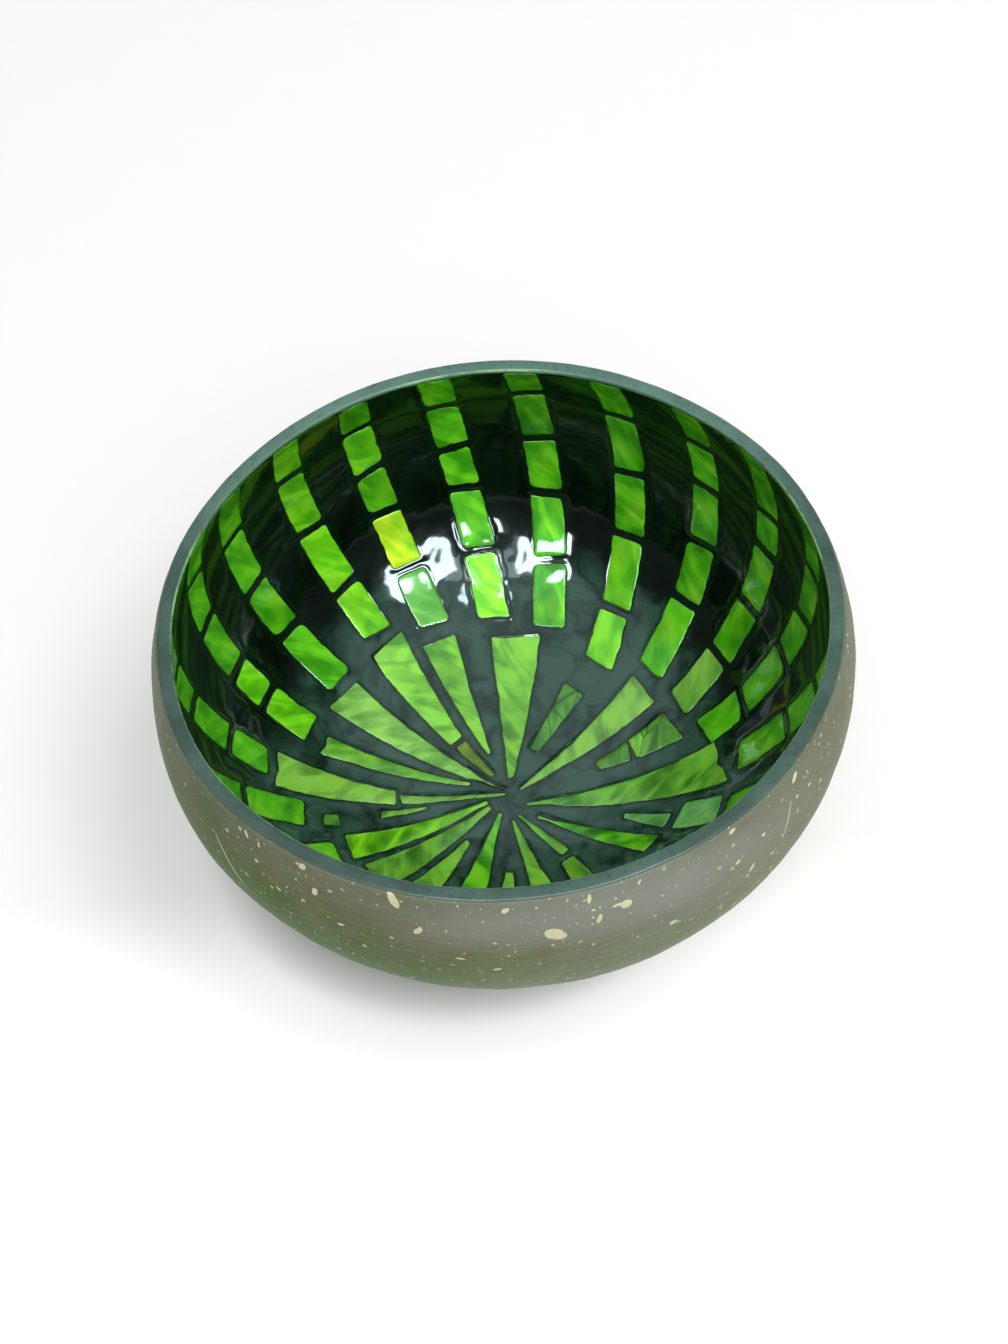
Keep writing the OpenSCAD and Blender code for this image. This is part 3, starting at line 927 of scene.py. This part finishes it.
class Pearl:
    """One pearl piece as it lies on the wall: its plane, outline and look."""

    def __init__(self, node, number, points, random):
        star = node.startswith("centre")
        self.plane = Plane(points)
        corners = four_corners(self.plane.flat(points))
        soft = (0.25 * MM, 1.0 * MM) if star else (0.45 * MM, 1.6 * MM)
        self.outline = worn_outline(corners, random, soft, 0.18 * MM if star else 0.24 * MM)
        outer_end = corners[np.argsort(corners[:, 1])[2:]].mean(0)
        away = np.linalg.norm(self.outline - outer_end, axis=1)
        self.outline[:, 1] -= CHIPPED.get(node, 0) * np.exp(-(away / (1.3 * MM)) ** 2)
        self.dye, self.deep = dye_of(node, number, self.plane, random)
        self.silk_angle = random.uniform(0.5, 1.1) if star else random.uniform(0.35, 1.2)
        self.silk_start = random.uniform(-400, 400, 3)
        self.tilt = random.normal(0, 0.006, 2)
        self.height = random.uniform(0.40, 0.46) * MM
        self.crack = 1.0 if node in CRACKED else 0.0

    def top_faces(self):
        """Places and faces of the top: two rings of the bevel round a fill of triangles."""
        outline = self.outline
        inward = spine_of(outline) - outline
        reach = np.maximum(np.linalg.norm(inward, axis=1), 1e-9)
        bevel, inner = (
            outline + inward * np.minimum(width / reach, most)[:, None] for width, most in BEVELS)
        low, high = outline.min(0), outline.max(0)
        xs, ys = (np.arange(low[i] + GRID_STEP / 2, high[i], GRID_STEP) for i in (0, 1))
        grid = np.array([(x, y) for y in ys for x in xs]).reshape(-1, 2)
        grid = grid[inside_distance(grid, inner) > GRID_MARGIN]
        count = len(outline)
        edges = [(i, (i + 1) % count) for i in range(count)]
        flat = [Vector(p / MM) for p in (*inner, *grid)]
        places, _, triangles, _, _, _ = delaunay_2d_cdt(flat, edges, [], 1, 1e-6)
        fill = np.array([tuple(p) for p in places]) * MM
        lead = [int(np.argmin(np.linalg.norm(fill - p, axis=1))) for p in inner]
        faces = []
        for i, after in edges:
            faces.append((i, after, count + after, count + i))
            faces.append((count + i, count + after, 2 * count + lead[after], 2 * count + lead[i]))
        faces += [tuple(2 * count + i for i in triangle) for triangle in triangles]
        return np.concatenate([outline, bevel, fill]), faces

    def lift(self, top, depth):
        """How far each place of the top stands off the wall: crowned, dented and tilted."""
        count = len(self.outline)
        dome = 1 - (1 - np.clip(depth / max(depth.max(), 1e-9), 0, 1)) ** 2
        own = np.concatenate([top, np.full((len(top), 1), self.silk_start[0])], 1)
        dents = lumps(own, int(abs(self.silk_start[1])), 5 * MM)
        lift = self.height - CROWN * (1 - dome) + DENT * dents + top @ self.tilt
        lift[:count] -= EDGE_DROP
        lift[count:2 * count] -= BEVEL_DROP
        return np.clip(lift, THINNEST, PEARL_T)

    def mesh(self):
        """Points, faces and named values of this piece, as a closed solid."""
        top, faces = self.top_faces()
        total = len(top)
        count = len(self.outline)
        depth = np.maximum(inside_distance(top, self.outline), 0)
        depth[:count] = 0
        faces += [tuple(total + i for i in face[::-1]) for face in faces]
        faces += [((i + 1) % count, i, total + i, total + (i + 1) % count) for i in range(count)]
        points = np.concatenate([
            self.plane.lifted(top, self.lift(top, depth)),
            self.plane.lifted(top, np.full(total, UNDERSIDE))])
        cosine, sine = math.cos(self.silk_angle), math.sin(self.silk_angle)
        silk = top @ np.array([[cosine, -sine], [sine, cosine]]) / MM
        numbers = {
            "silk": np.concatenate([silk, np.zeros((total, 1))], 1) + self.silk_start,
            "edge": np.clip(depth / WORN_EDGE, 0, 1),
            "crack": np.full(total, self.crack),
            "dye": np.tile(self.dye, (total, 1)),
            "deep": np.tile(self.deep, (total, 1)),
        }
        return points, faces, {key: np.concatenate([values, values]) for key, values in numbers.items()}


def lay_pearl(node, finish):
    """Builds the pearl pieces of one node and gives them back for the lacquer round them."""
    random = np.random.default_rng(sum(ord(letter) * (i + 7) for i, letter in enumerate(node)))
    points, faces, numbers, pearls = [], [], {}, []
    total = 0
    for number, solid in enumerate(solids_of(node)):
        pearl = Pearl(node, number, solid, random)
        pearls.append(pearl)
        more_points, more_faces, more_numbers = pearl.mesh()
        points.append(more_points)
        faces += [tuple(i + total for i in face) for face in more_faces]
        total += len(more_points)
        for key, values in more_numbers.items():
            numbers.setdefault(key, []).append(values)
    numbers = {key: np.concatenate(values) for key, values in numbers.items()}
    piece = mesh_object("pearl_" + node, swollen(np.concatenate(points)), faces, finish, numbers)
    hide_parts(node)
    return pearls


# The lacquer's even coat, and how high and how far out it is drawn up at a pearl piece
COAT_T = 0.16 * MM
CLIMB = 0.15 * MM
CLIMB_REACH = 0.62 * MM


def make_lining(finish, pearls):
    """The dark lacquer: pooled between the pearl pieces, drawn up at their edges, wavy."""
    rows = 250
    middle_hole = 0.5 * MM
    arcs = np.linspace(middle_hole, SEAT_ARC, rows)
    radius, height, turn = INSIDE.at(arcs)
    points = turned_rows(radius, height)
    angles = np.tile(ROUND_ANGLES, rows)
    turns = np.repeat(turn, ROUND_STEPS)
    inward = np.stack([
        -np.cos(turns) * np.cos(angles), -np.cos(turns) * np.sin(angles), -np.sin(turns)], 1)
    # Distance from the nearest pearl, negative under it
    gap = np.full(len(points), 9 * MM)
    for pearl in pearls:
        reach = np.linalg.norm(pearl.outline, axis=1).max() + 3 * MM
        near = np.nonzero(np.linalg.norm(points - pearl.plane.middle, axis=1) < reach)[0]
        away = -inside_distance(pearl.plane.flat(points[near]), pearl.outline)
        gap[near] = np.minimum(gap[near], away)
    off = np.maximum(gap, 0)
    drawn_up = np.clip(0.75 + 0.45 * lumps(points, 25, 8 * MM), 0.25, 1.3)
    relief = COAT_T + CLIMB * drawn_up * np.exp(-(off / CLIMB_REACH) ** 1.5)
    rows_arc = np.repeat(arcs, ROUND_STEPS)
    wavy = np.interp(rows_arc, (62 * MM, 72 * MM), (1.0, 0.25))
    swell = 0.085 * lumps(points, 21, 14 * MM) + 0.045 * lumps(points, 22, 7 * MM)
    swell += 0.010 * lumps(points, 23, 3 * MM)
    relief += swell * MM * wavy
    # Under the pearl the coat sinks away from it
    relief += 0.35 * np.minimum(gap, 0)
    near_top = np.clip((SEAT_ARC - rows_arc) / (1.5 * MM), 0, 1)
    relief = np.clip(relief, 0.03 * MM, 0.46 * MM) * near_top
    points = points + inward * relief[:, None]
    degrees = np.degrees(angles)
    # Painted green reflections of the pearl between the columns at the back, high up
    high = np.clip((rows_arc - (SEAT_ARC - 22 * MM)) / (12 * MM), 0, 1)
    painted_glow = humps(degrees, ((88, 7), (107, 6), (70, 7), (125, 6), (52, 6), (142, 6))) * high
    # Pale streaks where the rim's coat has run down
    top_band = np.clip((rows_arc - (SEAT_ARC - 3.2 * MM)) / (1.2 * MM), 0, 1)
    streak = humps(degrees, ((166, 12), (150, 8), (30, 14), (205, 8))) * top_band
    # Where the milky floor colour, partly a painted sky reflection, gives way to the dark walls
    floor_edge = 54 * MM + 3.5 * MM * lumps(points, 24, 22 * MM)
    numbers = {
        "near_pearl": np.exp(-(off / (0.6 * MM)) ** 2),
        "painted_glow": np.clip(painted_glow, 0, 1),
        "streak": np.clip(streak, 0, 1),
        "wavy": wavy,
        "floor": np.clip((floor_edge - rows_arc) / (6 * MM), 0, 1),
    }
    # The back lies just inside the shell, and closes the coat into a solid
    back_arcs = np.linspace(LINING_BACK.length(SEAT_Z), middle_hole, 24)
    back_r, back_z, _ = LINING_BACK.at(back_arcs)
    back = turned_rows(back_r - 0.04 * MM, back_z + 0.02 * MM)
    numbers = {key: np.concatenate([values, np.zeros(len(back))]) for key, values in numbers.items()}
    points = np.concatenate([points, back])
    faces = closed_faces(rows + len(back_arcs))
    piece = mesh_object("lacquer_ground", swollen(points), faces, finish, numbers)
    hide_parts("lacquer_lining")


# The camera stands where the photograph was taken from
EYE_DISTANCE = 0.6
EYE_ELEVATION = math.radians(51.45)
AIM_SIDE = -0.03 * MM
AIM_RISE = -11.27 * MM
ROLL = math.radians(-4.88)
FOCAL_PIXELS = 3184
FRAME_PIXELS = 1344
SENSOR = 36.0


def make_camera():
    """The camera, by its distance from the rim's middle, its elevation, its aim and its roll."""
    rim_middle = Vector((0, 0, HEIGHT))
    back = Vector((0, -math.cos(EYE_ELEVATION), math.sin(EYE_ELEVATION)))
    rise = Vector((0, math.sin(EYE_ELEVATION), math.cos(EYE_ELEVATION)))
    eye = rim_middle + back * EYE_DISTANCE
    aim = rim_middle + Vector((AIM_SIDE, 0, 0)) + rise * AIM_RISE
    ahead = (aim - eye).normalized()
    right = ahead.cross(Vector((0, 0, 1))).normalized()
    up = right.cross(ahead)
    data = bpy.data.cameras.new("photo_camera")
    data.sensor_width = SENSOR
    data.lens = FOCAL_PIXELS * SENSOR / FRAME_PIXELS
    data.clip_start = 0.01
    camera = bpy.data.objects.new("photo_camera", data)
    level = Matrix((right, up, -ahead)).transposed()
    rolled = level @ Matrix.Rotation(ROLL, 3, "Z")
    camera.matrix_world = Matrix.Translation(eye) @ rolled.to_4x4()
    bpy.context.scene.collection.objects.link(camera)
    bpy.context.scene.camera = camera


# Colours of the lamps
WARM = (1.0, 0.98, 0.95)
PLAIN = (1.0, 0.99, 0.97)
DAYLIGHT = (0.78, 0.95, 1.0)
SHADE = (0.70, 0.92, 1.0)
SKY = (0.72, 0.93, 1.0)

# Each lamp's name, azimuth, elevation, distance, size, brightness and colour, and whether it
# shows in the gloss and lights nothing, or lights the bowl and never shows
LAMPS = (
    ("key", 332, 68, 0.9, (0.38, 0.38), 7.6, WARM, False),
    ("front", 285, 50, 1.2, (0.9, 0.6), 2.4, PLAIN, False),
    ("window_right", 304, 43, 0.9, (0.28, 0.20), 26, DAYLIGHT, True),
    ("blind_right", 288, 47, 1.0, (0.14, 0.24), 4.0, SHADE, True),
    ("window_left", 250, 46, 0.9, (0.20, 0.24), 26, DAYLIGHT, True),
    ("blind_left", 264, 52, 1.0, (0.16, 0.16), 4.0, SHADE, True),
    ("window_low", 272, 34, 0.9, (0.10, 0.10), 26, DAYLIGHT, True),
    ("window_top", 286, 61, 0.9, (0.12, 0.07), 22, SKY, True),
)


def make_lamp(name, azimuth, elevation, distance, size, brightness, colour, shows_in_gloss):
    """A panel that faces the bowl. Brightness is what the panel itself would render as."""
    data = bpy.data.lights.new(name, "AREA")
    data.shape = "RECTANGLE"
    data.size, data.size_y = size
    data.energy = brightness * math.pi * size[0] * size[1]
    data.color = colour
    lamp = bpy.data.objects.new(name, data)
    lamp.visible_glossy = shows_in_gloss
    lamp.visible_diffuse = not shows_in_gloss
    away = direction(azimuth, elevation)
    lamp.location = Vector((0, 0, HEIGHT / 2)) + away * distance
    lamp.rotation_euler = away.to_track_quat("Z", "Y").to_euler()
    bpy.context.scene.collection.objects.link(lamp)


# Strength of the soft light that comes from all round, and of the floor's own light
AMBIENT = 0.55


def make_studio():
    """A white room: soft light all round, a high key and a broad front lamp, and windows.

    In the gloss the room is white low down, dark higher up and pale blue overhead.
    """
    scene = bpy.context.scene
    scene.view_settings.view_transform = "Standard"
    world = bpy.data.worlds.new("studio")
    scene.world = world
    f = Finish(world)
    rise = f.parts(f.node("ShaderNodeTexCoord", out="Generated"))[2]
    over_horizon = f.node("ShaderNodeMapRange", sockets={0: rise, 1: 0.20, 2: 0.34})
    overhead = f.node("ShaderNodeMapRange", sockets={0: rise, 1: 0.64, 2: 0.80})
    room = f.mix(over_horizon, (1.0, 1.0, 1.0), (0.08, 0.09, 0.09))
    room = f.mix(overhead, room, (0.74, 0.92, 1.0))
    soft = f.node("ShaderNodeBackground", sockets={0: (1.0, 1.0, 1.0), 1: AMBIENT})
    shown = f.node("ShaderNodeBackground", sockets={0: room, 1: 1.0})
    either = f.node("ShaderNodeMixShader", sockets={0: f.seen(), 1: soft, 2: shown})
    f.node("ShaderNodeOutputWorld", sockets={0: either})
    for lamp in LAMPS:
        make_lamp(*lamp)


FLOOR_HALF = 3.0

# Where the middle of the painted shadow under the bowl lies on the floor, in millimetres
SHADOW_MIDDLE = (-11.0, 3.5)


def make_floor():
    """A pale floor that fades into the white room and keeps the bowl's shadow.

    Its own light is painted: a painted pool of light makes it white in front of the bowl,
    it is a little dimmer beside and behind it, and a painted shadow makes it darkest close
    under it.
    """
    f = new_finish("pale_floor")
    at = f.place()
    x, y, _ = f.parts(at)
    beside = x - SHADOW_MIDDLE[0]
    beyond = y - SHADOW_MIDDLE[1]
    away = (beside * beside + beyond * beyond) ** 0.5
    # Painted pool of light on the floor in front of the bowl
    in_front = y.below(-42.0, -12.0) * away.above(48.0, 58.0)
    painted_glow = f.mix(in_front, (0.62, 0.62, 0.62), (1.0, 1.0, 1.0))
    # Painted shadow close under the bowl
    painted_glow = f.mix(away.below(42.0, 56.0), painted_glow, (0.10, 0.10, 0.10))
    matt = f.surface(
        Base_Color=f.mix(f.noise(at, 6.0, 3.0), (0.65, 0.65, 0.65), (0.67, 0.67, 0.67)),
        Roughness=0.9, Specular_IOR_Level=0.1,
        Emission_Color=f.mix(f.seen(), (0.0, 0.0, 0.0), painted_glow), Emission_Strength=AMBIENT)
    corners = ((-1, -1), (1, -1), (1, 1), (-1, 1))
    mesh = bpy.data.meshes.new("floor")
    mesh.from_pydata([(FLOOR_HALF * x, FLOOR_HALF * y, 0) for x, y in corners], [], [(0, 1, 2, 3)])
    mesh.materials.append(matt)
    floor = bpy.data.objects.new("floor", mesh)
    bpy.context.scene.collection.objects.link(floor)


make_camera()
make_studio()
make_floor()
make_shell(polished_shell())
make_rim(rim_finish())
wedge_finish = pearl_finish("bright_green_pearl", 1.12)
tile_finish = pearl_finish("deep_green_pearl", 1.0)
laid = []
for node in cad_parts:
    if node.startswith("centre_wedge"):
        laid += lay_pearl(node, wedge_finish)
    elif node.startswith("tile_column"):
        laid += lay_pearl(node, tile_finish)
make_lining(ground_finish(), laid)
